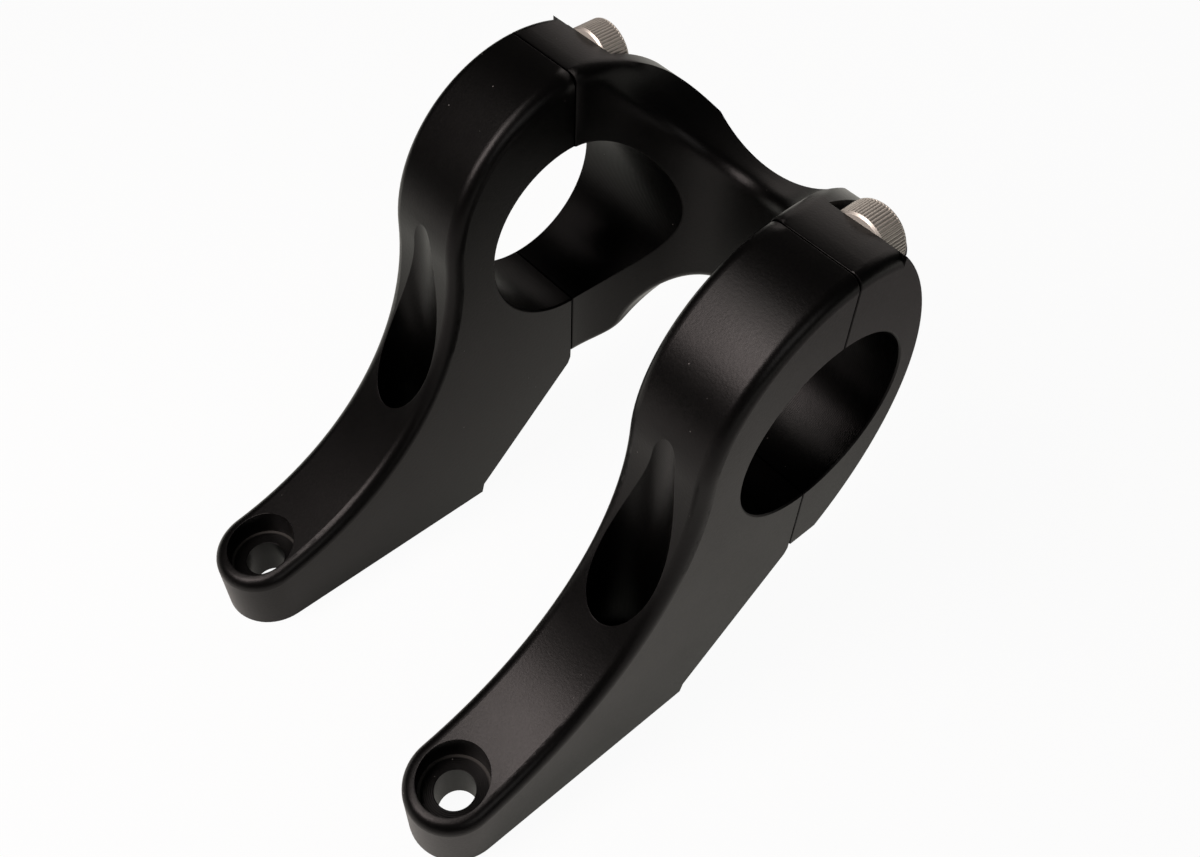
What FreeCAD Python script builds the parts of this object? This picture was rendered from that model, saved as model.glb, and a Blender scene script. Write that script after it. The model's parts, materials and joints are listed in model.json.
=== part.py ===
import FreeCAD, Part
import math
import os

# handlebar riser clamp, all sizes in mm
# X runs along the bar, Y forward, Z up; the origin is on the base, midway between the four mounting holes

bar_radius = 15.9
bar_height = 53.0          # bar axis above the base
bar_reach = 45.2           # bar axis ahead of the middle of the mounting holes

arm_spacing = 53.5         # between the middles of the two arms
arm_width = 15.5
hole_spacing = 32.8        # front mounting hole to rear mounting hole
hole_radius = 3.2
counterbore_radius = 5.65
counterbore_floor = 8.1    # height of the ledge that the bolt head sits on

ring_radius = 24.8         # outside of the ring behind the bar and over the cap
ring_shift_y = 1.2         # ring centre from the bar axis
ring_shift_z = 3.45
tail_thickness = 11.7
hollow_center_y = -25.0    # where the hollowed top of the arm is lowest
base_front = 23.7
base_lip = 2.0             # upright edge at the front of the base
under_corner = 0.8         # how far the sloping underside stops short of the joint face
under_drop = 1.9           # and how far below the bottom of the cap it is there
arm_rounding = 2.0
joint_chamfer = 0.25
bore_chamfer = 0.25

cap_bottom = 29.8          # below the bar axis
cap_end_front = 19.1       # front of the cap ends, ahead of the bar axis
cap_end_radius = 40.2
bridge_front = 23.9
bridge_top_edge = 9.2      # where the top of the bridge turns down
bridge_slope_end = 12.8    # height lost by the sloping shoulder
low_slope_end = 16.5       # height gained by the straight slope under the bridge
bridge_bulge = 1.5         # rise of the shoulder's curve over its chord
bridge_corner_radius = 12.0
bridge_half_width = 31.0
saddle_lift = 2.0          # centre of the upper saddle above the top of the cap
low_saddle_radius = 17.0
low_saddle_lift = -1.65    # centre of the lower saddle below the bottom of the cap
low_lip_radius = 5.0
cap_rounding = 2.0

screw_height = 23.2        # screws above and below the bar axis
screw_seat = 8.7           # face under the head, ahead of the bar axis
screw_length = 14.0
thread_radius = 2.95
thread_hole_radius = 3.0
thread_hole_depth = 6.6
screw_clearance_radius = 3.3
pocket_radius = 5.4
head_radius = 5.0
head_height = 4.5
head_chamfer = 0.4
socket_flats = 4.0
socket_depth = 2.4

half_width = arm_width / 2
arm_middle = arm_spacing / 2
gap_radius = arm_middle - half_width
outer_face = arm_middle + half_width
saddle_rounding = 0.7 * cap_rounding
ring_y = bar_reach + ring_shift_y
ring_z = bar_height + ring_shift_z
cap_bottom_z = bar_height - cap_bottom
tail_hole_y = -hole_spacing / 2
front_hole_y = hole_spacing / 2
tail_end_y = tail_hole_y - half_width
rise = ring_z - tail_thickness
run = ring_y - hollow_center_y
hollow_radius = (run ** 2 + rise ** 2 - ring_radius ** 2) / (2 * (rise + ring_radius))
hollow_center_z = tail_thickness + hollow_radius


def vec(x, y, z):
    return FreeCAD.Vector(x, y, z)


def face_of(start, steps):
    # steps are end points, or (middle, end) pairs for arcs
    edges = []
    here = start
    for step in steps:
        if isinstance(step, tuple):
            edges.append(Part.Arc(here, step[0], step[1]).toShape())
            here = step[1]
        else:
            edges.append(Part.makeLine(here, step))
            here = step
    return Part.Face(Part.Wire(edges))


def on_circle(center_y, center_z, radius, y, z):
    # point of a circle in the side view, in the direction of (y, z)
    reach = math.hypot(y - center_y, z - center_z)
    return center_y + radius * (y - center_y) / reach, center_z + radius * (z - center_z) / reach


def ring_top(y):
    return ring_z + math.sqrt(ring_radius ** 2 - (y - ring_y) ** 2)


def edges_where(shape, test):
    picked = []
    for edge in shape.Edges:
        first, last = edge.ParameterRange
        points = [edge.valueAt(first + (last - first) * part) for part in (0.1, 0.35, 0.65, 0.9)]
        if all(test(point) for point in points):
            picked.append(edge)
    return picked


def near(value, target):
    return abs(value - target) < 0.01


def bore_tool(start_x, end_x):
    # the bar bore with a small chamfer at each end
    wide = bar_radius + bore_chamfer
    over = 1.0
    points = [
        vec(start_x - over, bar_reach, bar_height),
        vec(start_x - over, bar_reach, bar_height + wide + over),
        vec(start_x + bore_chamfer, bar_reach, bar_height + bar_radius),
        vec(end_x - bore_chamfer, bar_reach, bar_height + bar_radius),
        vec(end_x + over, bar_reach, bar_height + wide + over),
        vec(end_x + over, bar_reach, bar_height),
    ]
    profile = Part.Face(Part.makePolygon(points + points[:1]))
    return profile.revolve(vec(0, bar_reach, bar_height), vec(1, 0, 0), 360)


def mounting_hole(x, y):
    shank = Part.makeCylinder(hole_radius, bar_height, vec(x, y, -1))
    head = Part.makeCylinder(counterbore_radius, 3 * bar_height, vec(x, y, counterbore_floor))
    return shank.fuse(head)


def screw_hole(x, z):
    tool = Part.makeCylinder(thread_hole_radius, thread_hole_depth, vec(x, bar_reach, z), vec(0, -1, 0))
    point = Part.makeCone(thread_hole_radius, 0, thread_hole_radius * 0.58,
                          vec(x, bar_reach - thread_hole_depth, z), vec(0, -1, 0))
    return tool.fuse(point)


cap_top_z = ring_top(bar_reach)


def riser_arm(side):
    x = side * arm_middle
    left = x - half_width
    top_y, top_z = bar_reach, cap_top_z
    meet_y, meet_z = on_circle(ring_y, ring_z, ring_radius, hollow_center_y, hollow_center_z)
    back_y, back_z = on_circle(ring_y, ring_z, ring_radius, ring_y - ring_radius, (top_z + meet_z) / 2)
    low_y, low_z = on_circle(hollow_center_y, hollow_center_z, hollow_radius, (meet_y + tail_end_y) / 2, 0)
    tail_y = tail_end_y
    tail_z = hollow_center_z - math.sqrt(hollow_radius ** 2 - (tail_y - hollow_center_y) ** 2)
    under_y = bar_reach - under_corner
    under_z = cap_bottom_z - under_drop
    side_face = face_of(vec(left, tail_y, 0), [
        vec(left, base_front, 0),
        vec(left, base_front + base_lip / 4, base_lip),
        vec(left, under_y, under_z),
        vec(left, bar_reach, cap_bottom_z),
        vec(left, top_y, top_z),
        (vec(left, back_y, back_z), vec(left, meet_y, meet_z)),
        (vec(left, low_y, low_z), vec(left, tail_y, tail_z)),
        vec(left, tail_y, 0),
    ])
    body = side_face.extrude(vec(arm_width, 0, 0))
    plan = face_of(vec(x - half_width, tail_hole_y, -1), [
        (vec(x, tail_end_y, -1), vec(x + half_width, tail_hole_y, -1)),
        vec(x + half_width, 2 * bar_reach, -1),
        vec(x - half_width, 2 * bar_reach, -1),
        vec(x - half_width, tail_hole_y, -1),
    ])
    body = body.common(plan.extrude(vec(0, 0, 3 * bar_height))).removeSplitter()

    def on_top_rim(point):
        on_side = near(abs(point.x - x), half_width)
        on_tail = point.y < tail_hole_y and near(math.hypot(point.x - x, point.y - tail_hole_y), half_width)
        on_ring = near(math.hypot(point.y - ring_y, point.z - ring_z), ring_radius) and point.y < bar_reach
        on_hollow = near(math.hypot(point.y - hollow_center_y, point.z - hollow_center_z), hollow_radius)
        return (on_side or on_tail) and (on_ring or on_hollow)

    body = body.makeFillet(arm_rounding, edges_where(body, on_top_rim))
    joint_rim = edges_where(body, lambda point: near(point.y, bar_reach) and point.z > cap_bottom_z + 0.01)
    body = body.makeChamfer(joint_chamfer, joint_rim)
    body = body.cut(bore_tool(x - half_width, x + half_width))
    for hole_y in (tail_hole_y, front_hole_y):
        body = body.cut(mounting_hole(x, hole_y))
    for level in (1, -1):
        body = body.cut(screw_hole(x, bar_height + level * screw_height))
    return body


def side_profile(x, top_y, front_steps):
    # the cap seen from the side: the joint face, the flat bottom, the front and the ring's own curve on top
    start = vec(x, bar_reach, cap_bottom_z)
    middle_y = (bar_reach + top_y) / 2
    top_arc = (vec(x, middle_y, ring_top(middle_y)), vec(x, bar_reach, cap_top_z))
    return face_of(start, front_steps + [top_arc, start])


def shoulder(x, start, end):
    # a gently bulging slope between two side-view points
    middle_y = (start[0] + end[0]) / 2
    middle_z = (start[1] + end[1]) / 2
    along = math.hypot(end[0] - start[0], end[1] - start[1])
    away_y = abs(end[1] - start[1]) / along
    away_z = abs(end[0] - start[0]) / along
    middle = vec(x, middle_y + bridge_bulge * away_y, middle_z + bridge_bulge * away_z)
    return middle, vec(x, end[0], end[1])


def saddle_steps(y, level):
    # front view, right to left: a rounded lip, the round saddle and the other lip
    edge_z = cap_top_z if level > 0 else cap_bottom_z
    radius = gap_radius if level > 0 else low_saddle_radius
    lift = saddle_lift if level > 0 else low_saddle_lift
    center_z = edge_z + level * lift
    rounding = cap_rounding if level > 0 else low_lip_radius
    lip_z = edge_z - level * rounding
    lip_x = math.sqrt((radius + rounding) ** 2 - (lift + rounding) ** 2)
    shrink = radius / (radius + rounding)
    meet_x = lip_x * shrink
    meet_z = center_z + (lip_z - center_z) * shrink
    lean = math.atan2(lip_x, lift + rounding) / 2
    lip_middle_x = lip_x - rounding * math.sin(lean)
    lip_middle_z = lip_z + level * rounding * math.cos(lean)
    return [
        vec(lip_x, y, edge_z),
        (vec(lip_middle_x, y, lip_middle_z), vec(meet_x, y, meet_z)),
        (vec(0, y, center_z - level * radius), vec(-meet_x, y, meet_z)),
        (vec(-lip_middle_x, y, lip_middle_z), vec(-lip_x, y, edge_z)),
    ]


def front_outline(y):
    # front view of the cap with its saddles above and below the bridge
    low = saddle_steps(y, -1)
    back_along = [low[3][1], (low[3][0], low[2][1]), (low[2][0], low[1][1]), (low[1][0], low[0])]
    start = vec(outer_face, y, cap_bottom_z)
    top = [vec(outer_face, y, cap_top_z)] + saddle_steps(y, 1) + [vec(-outer_face, y, cap_top_z)]
    return face_of(start, top + [vec(-outer_face, y, cap_bottom_z)] + back_along + [start])


def end_front_top():
    # where the front of a cap end meets the ring's curve: the crossing of two circles
    center_y = bar_reach + cap_end_front - cap_end_radius
    apart = math.hypot(ring_y - center_y, ring_shift_z)
    along = (cap_end_radius ** 2 - ring_radius ** 2 + apart ** 2) / (2 * apart)
    across = math.sqrt(cap_end_radius ** 2 - along ** 2)
    step_y = (ring_y - center_y) / apart
    step_z = ring_shift_z / apart
    return center_y + along * step_y - across * step_z, bar_height + along * step_z + across * step_y


def screw_pocket(seat, level):
    # a round spot face that opens towards the nearer edge of the cap
    round_part = Part.makeCylinder(pocket_radius, bar_height, seat, vec(0, 1, 0))
    low_z = seat.z if level > 0 else seat.z - bar_height
    corner = vec(seat.x - pocket_radius, seat.y, low_z)
    return round_part.fuse(Part.makeBox(2 * pocket_radius, bar_height, bar_height, corner))


def clamp_cap():
    end_top_y, end_top_z = end_front_top()
    end_center_y = bar_reach + cap_end_front - cap_end_radius
    end_low_y = end_center_y + math.sqrt(cap_end_radius ** 2 - cap_bottom ** 2)
    body = side_profile(-outer_face, end_top_y, [
        vec(-outer_face, end_low_y, cap_bottom_z),
        (vec(-outer_face, bar_reach + cap_end_front, bar_height), vec(-outer_face, end_top_y, end_top_z)),
    ]).extrude(vec(2 * outer_face, 0, 0))

    def on_top_corner(point):
        on_ring = near(math.hypot(point.y - ring_y, point.z - ring_z), ring_radius)
        return on_ring and near(abs(point.x), outer_face)

    # the rounded edges stop in line with the screw seats
    ahead = Part.makeBox(2 * outer_face, bar_height, 3 * bar_height, vec(-outer_face, bar_reach + screw_seat, 0))
    square_front = body.common(ahead)
    body = body.makeFillet(cap_rounding, edges_where(body, on_top_corner))
    body = body.fuse(square_front).removeSplitter()

    wide = bridge_half_width
    front_y = bar_reach + bridge_front
    edge_y = bar_reach + bridge_top_edge
    top_edge = (edge_y, ring_top(edge_y))
    top_front = (front_y, cap_top_z - bridge_slope_end)
    low_edge = (end_low_y, cap_bottom_z)
    low_front = (front_y, cap_bottom_z + low_slope_end)
    bridge = side_profile(-wide, edge_y, [
        vec(-wide, *low_edge),
        vec(-wide, *low_front),
        vec(-wide, *top_front),
        shoulder(-wide, top_front, top_edge),
    ]).extrude(vec(2 * wide, 0, 0))
    corner = bridge_corner_radius
    slack = corner * (1 - math.sqrt(0.5))
    plan = face_of(vec(-wide, bar_reach, 0), [
        vec(wide, bar_reach, 0),
        vec(wide, front_y - corner, 0),
        (vec(wide - slack, front_y - slack, 0), vec(wide - corner, front_y, 0)),
        vec(corner - wide, front_y, 0),
        (vec(slack - wide, front_y - slack, 0), vec(-wide, front_y - corner, 0)),
        vec(-wide, bar_reach, 0),
    ])
    bridge = bridge.common(plan.extrude(vec(0, 0, 3 * bar_height)))
    body = body.fuse(bridge).removeSplitter()
    body = body.common(front_outline(bar_reach).extrude(vec(0, 2 * bridge_front, 0)))
    body = body.cut(Part.makeCylinder(gap_radius, 4 * bar_height, vec(0, bar_reach, -bar_height)))

    top_center = cap_top_z + saddle_lift
    low_center = cap_bottom_z - low_saddle_lift

    def on_saddle_rim(point):
        on_gap = near(math.hypot(point.x, point.y - bar_reach), gap_radius)
        on_top = near(math.hypot(point.x, point.z - top_center), gap_radius)
        on_low = near(math.hypot(point.x, point.z - low_center), low_saddle_radius)
        return on_gap and (on_top or on_low)

    body = body.makeFillet(saddle_rounding, edges_where(body, on_saddle_rim))
    joint_rim = edges_where(body, lambda point: near(point.y, bar_reach) and point.z > cap_bottom_z + 0.01)
    body = body.makeChamfer(joint_chamfer, joint_rim)
    body = body.cut(bore_tool(-outer_face, outer_face))
    for side in (-1, 1):
        for level in (1, -1):
            seat = vec(side * arm_middle, bar_reach + screw_seat, bar_height + level * screw_height)
            body = body.cut(screw_pocket(seat, level))
            body = body.cut(Part.makeCylinder(screw_clearance_radius, bar_height, seat, vec(0, -1, 0)))
    return body


def clamp_screw(side, level):
    seat = vec(side * arm_middle, bar_reach + screw_seat, bar_height + level * screw_height)
    profile = [
        (0, -screw_length),
        (thread_radius - head_chamfer * 2, -screw_length),
        (thread_radius, -screw_length + head_chamfer * 2),
        (thread_radius, 0),
        (head_radius, 0),
        (head_radius, head_height - head_chamfer),
        (head_radius - head_chamfer, head_height),
        (0, head_height),
    ]
    points = [vec(seat.x + out, seat.y + along, seat.z) for out, along in profile]
    body = Part.Face(Part.makePolygon(points + points[:1])).revolve(seat, vec(0, 1, 0), 360)
    reach = socket_flats / math.sqrt(3)
    floor_y = seat.y + head_height - socket_depth
    corners = []
    for step in range(7):
        turn = math.radians(60 * step)
        corners.append(vec(seat.x + reach * math.cos(turn), floor_y, seat.z + reach * math.sin(turn)))
    socket = Part.Face(Part.makePolygon(corners)).extrude(vec(0, socket_depth + 1, 0))
    return body.cut(socket)


nodes = {}
nodes["left_riser_arm"] = riser_arm(-1)
nodes["right_riser_arm"] = riser_arm(1)
nodes["bar_clamp_cap"] = clamp_cap()
for side, side_name in ((-1, "left"), (1, "right")):
    for level, level_name in ((1, "upper"), (-1, "lower")):
        nodes[level_name + "_" + side_name + "_clamp_screw"] = clamp_screw(side, level)

os.makedirs("parts", exist_ok=True)
for name, shape in nodes.items():
    shape.exportStep("parts/" + name + ".step")
    print(name, len(shape.Solids), shape.isValid(), round(shape.Volume))
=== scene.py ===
import bpy
import json
import math
import numpy as np
from mathutils import Matrix, Vector


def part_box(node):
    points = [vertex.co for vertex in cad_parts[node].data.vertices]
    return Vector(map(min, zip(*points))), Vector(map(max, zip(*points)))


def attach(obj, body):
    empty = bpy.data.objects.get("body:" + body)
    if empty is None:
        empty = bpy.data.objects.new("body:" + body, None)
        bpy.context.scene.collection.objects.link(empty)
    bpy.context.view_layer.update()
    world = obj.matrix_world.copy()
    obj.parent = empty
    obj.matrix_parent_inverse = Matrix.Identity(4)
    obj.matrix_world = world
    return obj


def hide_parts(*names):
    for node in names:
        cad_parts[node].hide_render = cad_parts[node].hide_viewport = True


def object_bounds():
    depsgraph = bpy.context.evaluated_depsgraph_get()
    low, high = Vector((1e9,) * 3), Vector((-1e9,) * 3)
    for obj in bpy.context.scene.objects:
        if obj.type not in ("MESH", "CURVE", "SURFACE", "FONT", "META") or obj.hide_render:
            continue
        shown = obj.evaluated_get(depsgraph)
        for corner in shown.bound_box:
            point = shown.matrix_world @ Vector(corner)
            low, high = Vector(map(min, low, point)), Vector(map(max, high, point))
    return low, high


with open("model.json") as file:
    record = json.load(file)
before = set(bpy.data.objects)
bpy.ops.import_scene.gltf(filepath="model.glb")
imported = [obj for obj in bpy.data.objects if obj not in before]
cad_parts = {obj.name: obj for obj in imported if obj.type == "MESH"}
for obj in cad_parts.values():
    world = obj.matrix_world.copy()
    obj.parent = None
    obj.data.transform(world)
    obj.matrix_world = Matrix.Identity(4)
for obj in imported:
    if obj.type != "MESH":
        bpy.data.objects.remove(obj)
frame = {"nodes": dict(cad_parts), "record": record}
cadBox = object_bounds()
mounts = {mount["name"]: mount for mount in frame["record"]["mounts"]}
barAxis = mounts["bar_clamp"]["pos_m"]
boltDims = mounts["base_bolts"]["dims"]
boltAcross = boltDims["spacing_x_mm"] / 2000  # half the spacing, in metres
boltAlong = boltDims["spacing_y_mm"] / 2000
print("frame loaded:", sorted(frame["nodes"]))


class Wire:
    # a socket of a node tree; arithmetic on it adds Math nodes
    def __init__(self, tree, socket=None):
        self.tree = tree
        self.socket = socket

    def make(self, kind, settings=None, inputs=None, out=0):
        # a node of any kind: its settings first, then the values or links of its sockets
        node = self.tree.nodes.new(kind)
        for key, value in (settings or {}).items():
            setattr(node, key, value)
        for key, value in (inputs or {}).items():
            if isinstance(value, Wire):
                self.tree.links.new(value.socket, node.inputs[key])
            else:
                node.inputs[key].default_value = value
        return Wire(self.tree, node.outputs[out] if node.outputs else None)

    def other(self, out):
        return Wire(self.tree, self.socket.node.outputs[out])

    def maths(self, operation, first, second=0.0):
        return self.make("ShaderNodeMath", {"operation": operation}, {0: first, 1: second})

    def __add__(self, value):
        return self.maths("ADD", self, value)

    __radd__ = __add__

    def __sub__(self, value):
        return self.maths("SUBTRACT", self, value)

    def __rsub__(self, value):
        return self.maths("SUBTRACT", value, self)

    def __mul__(self, value):
        return self.maths("MULTIPLY", self, value)

    __rmul__ = __mul__

    def __truediv__(self, value):
        return self.maths("DIVIDE", self, value)

    def __abs__(self):
        return self.maths("ABSOLUTE", self)

    def wave(self, pitch):
        return self.maths("SINE", self * (2 * math.pi / pitch))  # -1 to 1

    def clip(self):
        return self.make("ShaderNodeClamp", None, {0: self})

    def below(self, edge, soft):
        return ((edge - self) / soft).clip()  # 1 under the edge, 0 above it

    def reach(self, value):
        return self.maths("SQRT", self * self + value * value)  # hypotenuse

    def tint(self, dark, pale):
        # from one colour to the other as this value goes from 0 to 1
        first, second = (end if isinstance(end, Wire) else (*end, 1) for end in (dark, pale))
        return self.make("ShaderNodeMix", {"data_type": "RGBA"}, {0: self, 6: first, 7: second}, 2)

    def steer(self, first, second):
        # from one direction to the other as this value goes from 0 to 1
        return self.make("ShaderNodeMix", {"data_type": "VECTOR"}, {0: self, 4: first, 5: second}, 1)


def newMaterial(name):
    made = bpy.data.materials.new(name)
    made.use_nodes = True
    made.node_tree.nodes.clear()
    return made, Wire(made.node_tree)


def objectPlace(wire):
    spot = wire.make("ShaderNodeTexCoord", out="Object")
    split = wire.make("ShaderNodeSeparateXYZ", None, {0: spot})
    return spot, split, split.other(1), split.other(2)


def noise(spot, scale, detail):
    return spot.make("ShaderNodeTexNoise", None, {"Vector": spot, "Scale": scale, "Detail": detail}, "Fac")


# satin black finish of the arms and the cap, lengths in metres
blackFinish = {
    "dark": (0.0007, 0.00066, 0.00066), "pale": (0.0017, 0.0016, 0.0015),
    "specular": 0.20, "rough": 0.34, "edgeBreak": 0.00012, "relief": 0.5,
    "grain": {"scale": 2600, "lift": 0.00003, "rough": 0.09},
    "cloud": {"scale": 90, "share": 0.6, "rough": 0.08},
    "dust": {"cells": 330, "size": 0.035, "soft": 0.012, "rough": 0.4, "lift": 0.00004,
             "color": (0.16, 0.155, 0.15)},
    "tool": {"pitch": 0.0003, "lift": 0.000012},
    # the bore's shade is the share of painted shade mixed over its wall
    "bore": {"wall": 0.0161, "soft": 0.0001, "rough": 0.32, "shade": 0.3},
    "recess": {"wall": 0.0057, "soft": 0.0001, "floor": 0.0081},
    # painted highlight: the paler ring at the foot of each bolt recess wall, its height, width and colour
    "corner": {"high": 0.00012, "soft": 0.00005, "inner": 0.0053, "blend": 0.0002,
               "color": (0.05, 0.048, 0.045)},
    # painted shade deep in the front recesses, and along the split between cap and arms with its near-black
    # colour
    "pocket": {"starts": 0.001, "high": 0.036, "soft": 0.016, "shade": 0.75},
    "seamShade": {"half": 0.00018, "soft": 0.00007, "color": (0.0002, 0.0002, 0.0002)},
    "saddle": {"radius": 0.019, "level": 0.08322, "reach": 0.0036, "soft": 0.0012,
               "round": 0.0028, "rough": 0.31},
    "crown": {"middle": 0.0464, "radius": 0.0248, "across": 0.0058, "acrossSoft": 0.0002,
              "along": 0.0013, "alongSoft": 0.0001, "high": 0.08115, "highSoft": 0.00002},
}


def blackAnodise():
    # blasted grain everywhere, tool lines in the bore and the bolt recesses, a few specks of dust
    look = blackFinish
    made, wire = newMaterial("blackAnodise")
    spot, x, y, z = objectPlace(wire)
    grain = noise(spot, look["grain"]["scale"], 2.0)
    cloud = noise(spot, look["cloud"]["scale"], 3.0)
    speck, bore, recess = look["dust"], look["bore"], look["recess"]
    cells = wire.make("ShaderNodeTexVoronoi", None, {"Vector": spot, "Scale": speck["cells"]}, "Distance")
    dust = cells.below(speck["size"], speck["soft"])
    fromBar = (y - barAxis[1]).reach(z - barAxis[2])
    fromBolt = (abs(x) - boltAcross).reach(abs(y) - boltAlong)
    inBore = fromBar.below(bore["wall"], bore["soft"])
    inRecess = fromBolt.below(recess["wall"], recess["soft"])
    turned = (inBore + inRecess).clip()

    # colour: cloudy black, dust, and a painted highlight, a paler ring where a recess meets its floor that
    # stands in for light caught on the corner's edge
    share, seatGlint = look["cloud"]["share"], look["corner"]
    tone = (cloud * share + grain * (1 - share)).tint(look["dark"], look["pale"])
    tone = dust.tint(tone, speck["color"])
    # painted highlight: paler base colour where a recess wall meets its floor, standing in for light caught
    # on that edge
    atFloor = abs(z - recess["floor"]).below(seatGlint["high"], seatGlint["soft"])
    corner = inRecess * atFloor * (1 - fromBolt.below(seatGlint["inner"], seatGlint["blend"]))
    tone = corner.tint(tone, seatGlint["color"])

    # gloss: a little smoother in the bore, the recesses and along the rim of the upper saddle
    saddle = look["saddle"]
    gapEdge = abs(x.reach(y - barAxis[1]) - saddle["radius"]).below(saddle["reach"], saddle["soft"])
    saddleEdge = abs(x.reach(z - saddle["level"]) - saddle["radius"]).below(saddle["reach"], saddle["soft"])
    rim = gapEdge * saddleEdge
    rough = look["rough"] + (grain - 0.5) * look["grain"]["rough"] + (cloud - 0.5) * look["cloud"]["rough"]
    rough = rough - turned * (look["rough"] - bore["rough"]) - rim * (look["rough"] - saddle["rough"])
    rough = rough + dust * speck["rough"]

    # relief: broken edges, a softer saddle rim, the ring's curve over its flat crown, grain, tool lines
    edges = wire.make("ShaderNodeBevel", {"samples": 6}, {"Radius": look["edgeBreak"]})
    softer = wire.make("ShaderNodeBevel", {"samples": 8}, {"Radius": saddle["round"]})
    crown = look["crown"]
    onCrown = abs(abs(x) - boltAcross).below(crown["across"], crown["acrossSoft"])
    onCrown = onCrown * abs(y - crown["middle"]).below(crown["along"], crown["alongSoft"])
    onCrown = onCrown * (1 - z.below(crown["high"], crown["highSoft"]))
    lean = wire.make("ShaderNodeCombineXYZ", None, {1: (y - crown["middle"]) / crown["radius"], 2: 1.0})
    ringWay = wire.make("ShaderNodeVectorMath", {"operation": "NORMALIZE"}, {0: lean})
    edges = onCrown.steer(rim.steer(edges, softer), ringWay)
    pitch = look["tool"]["pitch"]
    lines = inBore * (x + fromBar).wave(pitch) + inRecess * (z + fromBolt).wave(pitch)
    height = grain * (1 - turned) * look["grain"]["lift"]
    height = height + lines * look["tool"]["lift"] + dust * speck["lift"]
    relief = wire.make("ShaderNodeBump", None, {
        "Strength": look["relief"], "Distance": 1.0, "Height": height, "Normal": edges,
    })
    skin = wire.make("ShaderNodeBsdfPrincipled", None, {
        "Base Color": tone, "Roughness": rough.clip(), "Normal": relief,
        "Metallic": 0.0, "Specular IOR Level": look["specular"],
    })

    # painted shade: a near-black diffuse mixed over the split between cap and arms, deep down the front
    # recesses, and partly over the bore
    split, deep = look["seamShade"], look["pocket"]
    seamShade = abs(y - barAxis[1]).below(split["half"], split["soft"])
    pocket = inRecess * (1 - y.below(deep["starts"], deep["starts"])) * z.below(deep["high"], deep["soft"])
    shade = (seamShade + pocket * deep["shade"] + inBore * bore["shade"]).clip()
    # near-black diffuse that carries the painted shade
    paintedDark = wire.make("ShaderNodeBsdfDiffuse", None, {"Color": (*split["color"], 1)})
    both = wire.make("ShaderNodeMixShader", None, {0: shade, 1: skin, 2: paintedDark})
    wire.make("ShaderNodeOutputMaterial", None, {"Surface": both})
    return made


# knurled clamp screws, sizes in metres
screwForm = {
    "headRadius": 0.005, "headHeight": 0.0045, "underChamfer": 0.0003, "topEdge": 0.00035,
    "knurls": 60, "knurlDepth": 0.00012, "knurlFade": 0.00006, "ridgePower": 0.8,
    "knurlSteps": 8, "sideRows": 22, "edgeRows": 7, "seatLand": 0.0003,
    "socketFlats": 0.004, "socketDepth": 0.0024, "socketLead": 0.00018, "socketPoint": 0.0004,
    "mouthLand": 0.0002, "socketFoot": 0.0001,
    "threadRadius": 0.00295, "threadDepth": 0.00055, "threadPitch": 0.001, "tipChamfer": 0.0008,
    "threadSteps": 96, "threadRows": 12, "threadInto": 0.0003, "crestFlat": 0.125, "sharpAngle": 32,
}
steelFinish = {
    "dark": (0.64, 0.61, 0.555), "pale": (0.79, 0.76, 0.695), "groove": (0.30, 0.28, 0.245),
    "metal": 0.78, "facedLoss": 0.5, "faced": 0.00004, "rough": 0.46, "roughGrain": 0.14, "roughValley": 0.2,
    "grain": 5200, "grainLift": 0.00001, "relief": 0.5, "cloud": 420, "cloudShare": 0.7,
    "valleyOut": 0.00002, "valleyIn": 0.0003, "valleySoft": 0.00005, "soft": 0.00003,
}


def roundShell(radius, height):
    # closed shell round +Y: row i, step j is (r cos a, h, r sin a) with a = 2 pi j / steps
    # a pole shuts each end
    rows, steps = radius.shape
    turn = np.linspace(0, 2 * math.pi, steps, endpoint=False)
    rings = np.stack([radius * np.cos(turn), height + 0 * radius, radius * np.sin(turn)], -1).reshape(-1, 3)
    poles = np.array([[0, height[0, 0], 0], [0, height[-1, 0], 0]])
    row, step = np.meshgrid(np.arange(rows - 1) * steps, np.arange(steps), indexing="ij")
    after = (step + 1) % steps
    quads = np.stack([row + step, row + steps + step, row + steps + after, row + after], -1).reshape(-1, 4)
    first, second = step[0], after[0]
    top = (rows - 1) * steps
    lowFan = np.stack([np.full(steps, rows * steps), first, second], -1)
    highFan = np.stack([np.full(steps, rows * steps + 1), top + second, top + first], -1)
    return np.vstack([rings, poles]), quads, np.vstack([lowFan, highFan])


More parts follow.
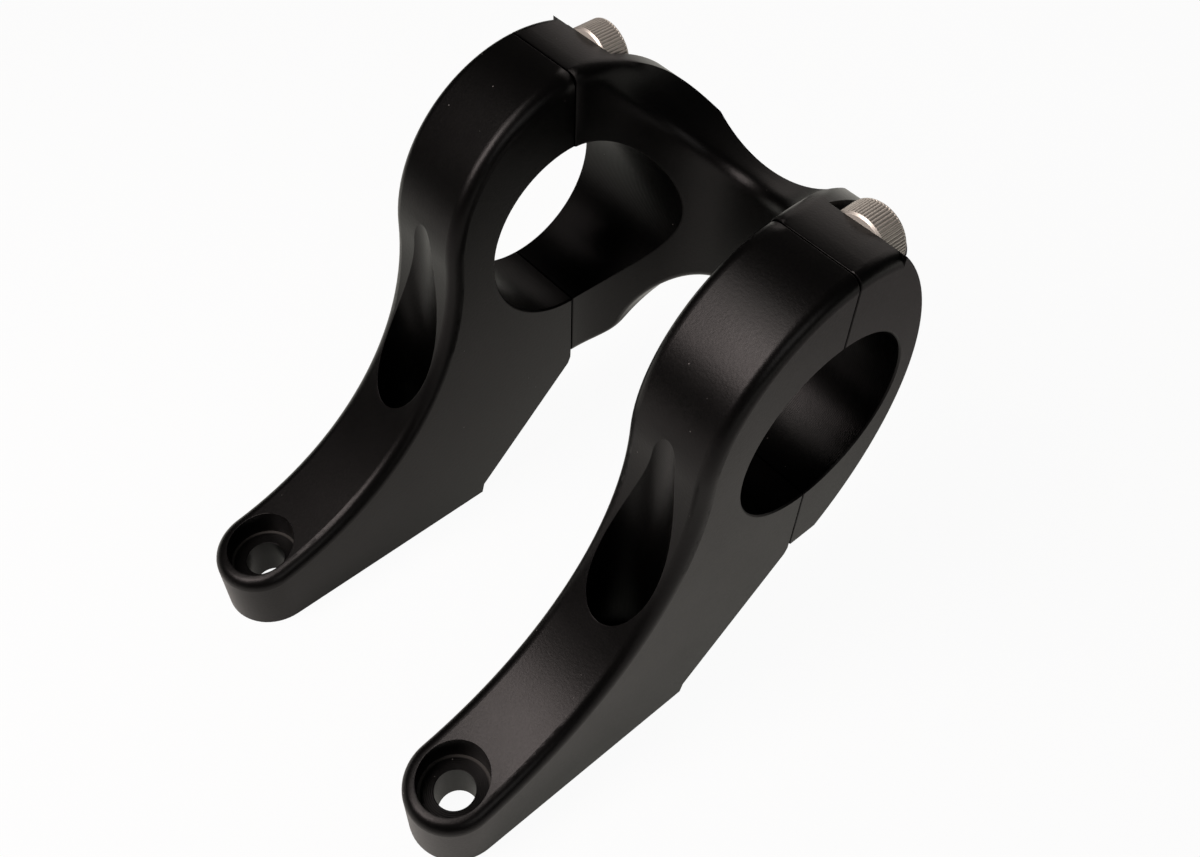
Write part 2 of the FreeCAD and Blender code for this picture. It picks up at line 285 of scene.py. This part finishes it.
def screwHead(form):
    # under face, chamfer, knurled side, rounded edge, top, then down the six-sided socket to its point
    turn = np.linspace(0, 2 * math.pi, form["knurls"] * form["knurlSteps"], endpoint=False)
    big, tall = form["headRadius"], form["headHeight"]
    under, edge = form["underChamfer"], form["topEdge"]
    fadeOut, lead = form["knurlFade"], form["socketLead"]
    side = np.r_[under, np.linspace(under + fadeOut, tall - edge - fadeOut, form["sideRows"]), tall - edge]
    bend = np.linspace(0, math.pi / 2, form["edgeRows"])[1:]
    flat = np.ones_like(turn)
    fade = np.clip(np.minimum(side - under, tall - edge - side) / fadeOut, 0, 1)
    groove = np.abs(np.sin(form["knurls"] * turn / 2)) ** form["ridgePower"]  # round ridges, sharp valleys
    knurl = big - form["knurlDepth"] * fade[:, None] * (1 - groove)
    hexagon = form["socketFlats"] / 2 / np.cos((turn + math.pi / 6) % (math.pi / 3) - math.pi / 6)
    mouth = form["socketFlats"] / math.sqrt(3) + lead
    floor = tall - form["socketDepth"]
    radius = [flat * form["threadRadius"] * 0.8]  # inside the shank
    radius += [flat * (big - under - form["seatLand"]), flat * (big - under), *knurl]
    height = [0, 0, 0, *side]
    radius += [flat * (big - edge + edge * math.cos(angle)) for angle in bend]
    height += [tall - edge + edge * math.sin(angle) for angle in bend]
    radius += [flat * (mouth + form["mouthLand"]), flat * mouth]
    radius += [hexagon, hexagon, hexagon * 0.97, hexagon * 0.5]
    height += [tall, tall, tall - lead, floor + form["socketFoot"], floor, floor - form["socketPoint"] / 2]
    return roundShell(np.array(radius), np.array(height)[:, None])


def screwThread(form, length):
    # radius falls from crest to root as a rounded saw of (h / pitch - a / 2 pi), and tapers off at the tip
    turn = np.linspace(0, 2 * math.pi, form["threadSteps"], endpoint=False)
    pitch, crest = form["threadPitch"], form["crestFlat"]
    height = np.arange(-length, form["threadInto"], pitch / form["threadRows"])[:, None]
    phase = (height / pitch - turn / (2 * math.pi)) % 1
    dip = np.clip(np.abs(2 * phase - 1) * (1 + 2 * crest) - crest, 0, 1)
    radius = form["threadRadius"] - form["threadDepth"] * dip
    tip = form["threadRadius"] - np.clip(form["tipChamfer"] - (height + length), 0, None)
    return roundShell(np.minimum(radius, tip), height)


def steelScrew():
    # drawn steel: cloudy grey, darker in the knurl's valleys, paler on the faced seat
    look, form = steelFinish, screwForm
    made, wire = newMaterial("steelScrew")
    spot, x, y, z = objectPlace(wire)
    grain = noise(spot, look["grain"], 2.0)
    cloud = noise(spot, look["cloud"], 3.0)
    low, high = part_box("upper_right_clamp_screw")
    middle = (low + high) / 2
    fromAxis = (abs(x) - middle.x).reach(abs(z - barAxis[2]) - (middle.z - barAxis[2]))
    rim, seat = form["headRadius"], high.y - form["headHeight"]
    knurled = 1 - y.below(seat + form["underChamfer"], look["soft"])
    valley = fromAxis.below(rim - look["valleyOut"], form["knurlDepth"]) * knurled
    valley = valley * (1 - fromAxis.below(rim - look["valleyIn"], look["valleySoft"]))
    faced = y.below(seat + look["faced"], look["soft"])
    share = look["cloudShare"]
    tone = (cloud * share + grain * (1 - share)).tint(look["dark"], look["pale"])
    rough = look["rough"] + (grain - 0.5) * look["roughGrain"] + valley * look["roughValley"]
    height = grain * look["grainLift"]
    relief = wire.make("ShaderNodeBump", None, {
        "Strength": look["relief"], "Distance": 1.0, "Height": height,
    })
    skin = wire.make("ShaderNodeBsdfPrincipled", None, {
        "Base Color": valley.tint(tone, look["groove"]), "Roughness": rough.clip(), "Normal": relief,
        "Metallic": look["metal"] - faced * look["facedLoss"],
    })
    wire.make("ShaderNodeOutputMaterial", None, {"Surface": skin})
    return made


def addScrew(node, finish):
    low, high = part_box(node)
    form = screwForm
    seat = high.y - form["headHeight"]
    points, quads, fans = [], [], []
    for shell in (screwHead(form), screwThread(form, seat - low.y)):
        start = sum(len(part) for part in points)
        points.append(shell[0] + [(low.x + high.x) / 2, seat, (low.z + high.z) / 2])
        quads += (shell[1] + start).tolist()
        fans += (shell[2] + start).tolist()
    mesh = bpy.data.meshes.new(node + "_knurled")
    mesh.from_pydata(np.vstack(points).tolist(), [], quads + fans)
    mesh.shade_smooth()
    mesh.set_sharp_from_angle(angle=math.radians(form["sharpAngle"]))
    mesh.materials.append(finish)
    piece = bpy.data.objects.new(node + "_knurled", mesh)
    bpy.context.scene.collection.objects.link(piece)
    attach(piece, "root")
    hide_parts(node)


anodise = blackAnodise()
steel = steelScrew()
for node in ("left_riser_arm", "right_riser_arm", "bar_clamp_cap"):
    mesh = frame["nodes"][node].data
    mesh.materials.clear()
    mesh.materials.append(anodise)
print("black finish on the arms and the cap")
for node in [name for name in frame["nodes"] if name.endswith("_clamp_screw")]:
    addScrew(node, steel)
print("screws knurled and threaded")


# pale floor that stays white to the eye and keeps a soft shadow; reflections show it in three parts
floorLook = {
    "radius": 1.6, "level": -0.0002, "steps": 96,
    "color": (0.86, 0.86, 0.86), "white": 0.95, "warm": (1.0, 0.97, 0.89),
    "closeBy": {"middle": (0, 0.02), "near": 0.075, "far": 0.125, "shine": 0.38},
    "leftSide": {"middle": (-0.26, 0.14), "near": 0.24, "far": 0.28, "shine": 0.95},
    "farOff": {"near": 0.28, "far": 0.38, "shine": 0.85, "ahead": (0.6, 0.8), "starts": 0.06, "soft": 0.1},
}


def addFloor():
    # flat disc: (r cos a, r sin a, level)
    look = floorLook
    made, wire = newMaterial("paleFloor")
    path = wire.make("ShaderNodeLightPath", out="Is Camera Ray")
    spot, x, y, z = objectPlace(wire)
    outer = look["farOff"]
    ahead = x * outer["ahead"][0] + y * outer["ahead"][1]
    sheet = (1 - x.reach(y).below(outer["far"], outer["far"] - outer["near"])) * outer["shine"]
    sheet = sheet * (1 - ahead.below(outer["starts"] + outer["soft"], outer["soft"]))
    for part in (look["closeBy"], look["leftSide"]):
        away = (x - part["middle"][0]).reach(y - part["middle"][1])
        sheet = away.below(part["far"], part["far"] - part["near"]) * part["shine"] + sheet
    shown = (path.other("Is Glossy Ray") + path.other("Is Transmission Ray")).clip() * sheet.clip()
    paint = wire.make("ShaderNodeBsdfDiffuse", None, {"Color": (*look["color"], 1)})
    color = path.tint(look["warm"], (1, 1, 1))  # warm in reflections, white to the camera
    glow = wire.make("ShaderNodeEmission", None, {"Color": color, "Strength": 1.0})
    white = (path * look["white"] + shown).clip()
    both = wire.make("ShaderNodeMixShader", None, {0: white, 1: paint, 2: glow})
    wire.make("ShaderNodeOutputMaterial", None, {"Surface": both})
    turn = np.linspace(0, 2 * math.pi, look["steps"], endpoint=False)
    reach = look["radius"]
    points = np.stack([np.cos(turn) * reach, np.sin(turn) * reach, 0 * turn + look["level"]], -1)
    mesh = bpy.data.meshes.new("paleFloor")
    mesh.from_pydata(points.tolist(), [], [list(range(len(points)))])
    mesh.materials.append(made)
    floor = bpy.data.objects.new("paleFloor", mesh)
    bpy.context.scene.collection.objects.link(floor)


# lamps: azimuth turns from +Y towards +X, both angles in degrees
lamps = {
    "keyBox": {"azimuth": -164, "elevation": 46, "away": 0.32, "wide": 0.13, "tall": 0.17, "power": 0.66,
               "color": (1.0, 0.87, 0.84)},
    "topBox": {"azimuth": -148, "elevation": 65, "away": 0.32, "wide": 0.16, "tall": 0.12, "power": 0.26,
               "color": (1.0, 0.90, 0.86)},
    "capBox": {"azimuth": -20, "elevation": 25, "away": 0.32, "wide": 0.30, "tall": 0.17, "power": 0.14,
               "color": (1.0, 0.90, 0.85)},
    "sideBox": {"azimuth": 100, "elevation": 35, "away": 0.50, "wide": 0.30, "tall": 0.20, "power": 0.25,
                "color": (1.0, 0.95, 0.92)},
}
worldLook = {"dim": 0.02, "white": 0.96}  # strength to everything else, and to the camera


def addLamps():
    middle = (cadBox[0] + cadBox[1]) / 2
    for name, lamp in lamps.items():
        turn, lift = math.radians(lamp["azimuth"]), math.radians(lamp["elevation"])
        way = Vector((math.sin(turn) * math.cos(lift), math.cos(turn) * math.cos(lift), math.sin(lift)))
        data = bpy.data.lights.new(name, "AREA")
        data.shape = "RECTANGLE"
        data.size, data.size_y = lamp["wide"], lamp["tall"]
        data.energy, data.color = lamp["power"], lamp["color"]
        box = bpy.data.objects.new(name, data)
        turned = way.to_track_quat("Z", "Y").to_matrix().to_4x4()
        box.matrix_world = Matrix.Translation(middle + way * lamp["away"]) @ turned
        box.visible_camera = False
        bpy.context.scene.collection.objects.link(box)


def addWorld():
    world = bpy.data.worlds.new("studio")
    world.use_nodes = True
    world.node_tree.nodes.clear()
    wire = Wire(world.node_tree)
    path = wire.make("ShaderNodeLightPath", out="Is Camera Ray")
    level = worldLook["dim"] + path * (worldLook["white"] - worldLook["dim"])
    glow = wire.make("ShaderNodeBackground", None, {"Color": (1, 1, 1, 1), "Strength": level})
    wire.make("ShaderNodeOutputWorld", None, {"Surface": glow})
    bpy.context.scene.world = world


# camera at the photograph's viewing angle
cameraLook = {
    "place": (0.08906, -0.04914, 0.17973), "azimuth": 46.57, "elevation": 51.08, "roll": 2.78,
    "lens": 35.30, "sensor": 36.0,
}


def addCamera():
    look = cameraLook
    turn, lift, roll = (math.radians(look[key]) for key in ("azimuth", "elevation", "roll"))
    back = Vector((math.sin(turn) * math.cos(lift), -math.cos(turn) * math.cos(lift), math.sin(lift)))
    level = Vector((math.cos(turn), math.sin(turn), 0))
    upright = back.cross(level)
    right = level * math.cos(roll) + upright * math.sin(roll)
    data = bpy.data.cameras.new("photoCamera")
    data.lens, data.sensor_width = look["lens"], look["sensor"]
    data.clip_start, data.clip_end = 0.005, 20
    camera = bpy.data.objects.new("photoCamera", data)
    turned = Matrix((right, back.cross(right), back)).transposed().to_4x4()
    camera.matrix_world = Matrix.Translation(look["place"]) @ turned
    bpy.context.scene.collection.objects.link(camera)
    bpy.context.scene.camera = camera


addFloor()
addLamps()
addWorld()
addCamera()
bpy.context.scene.view_settings.view_transform = "Standard"
print("floor, lamps and camera set")
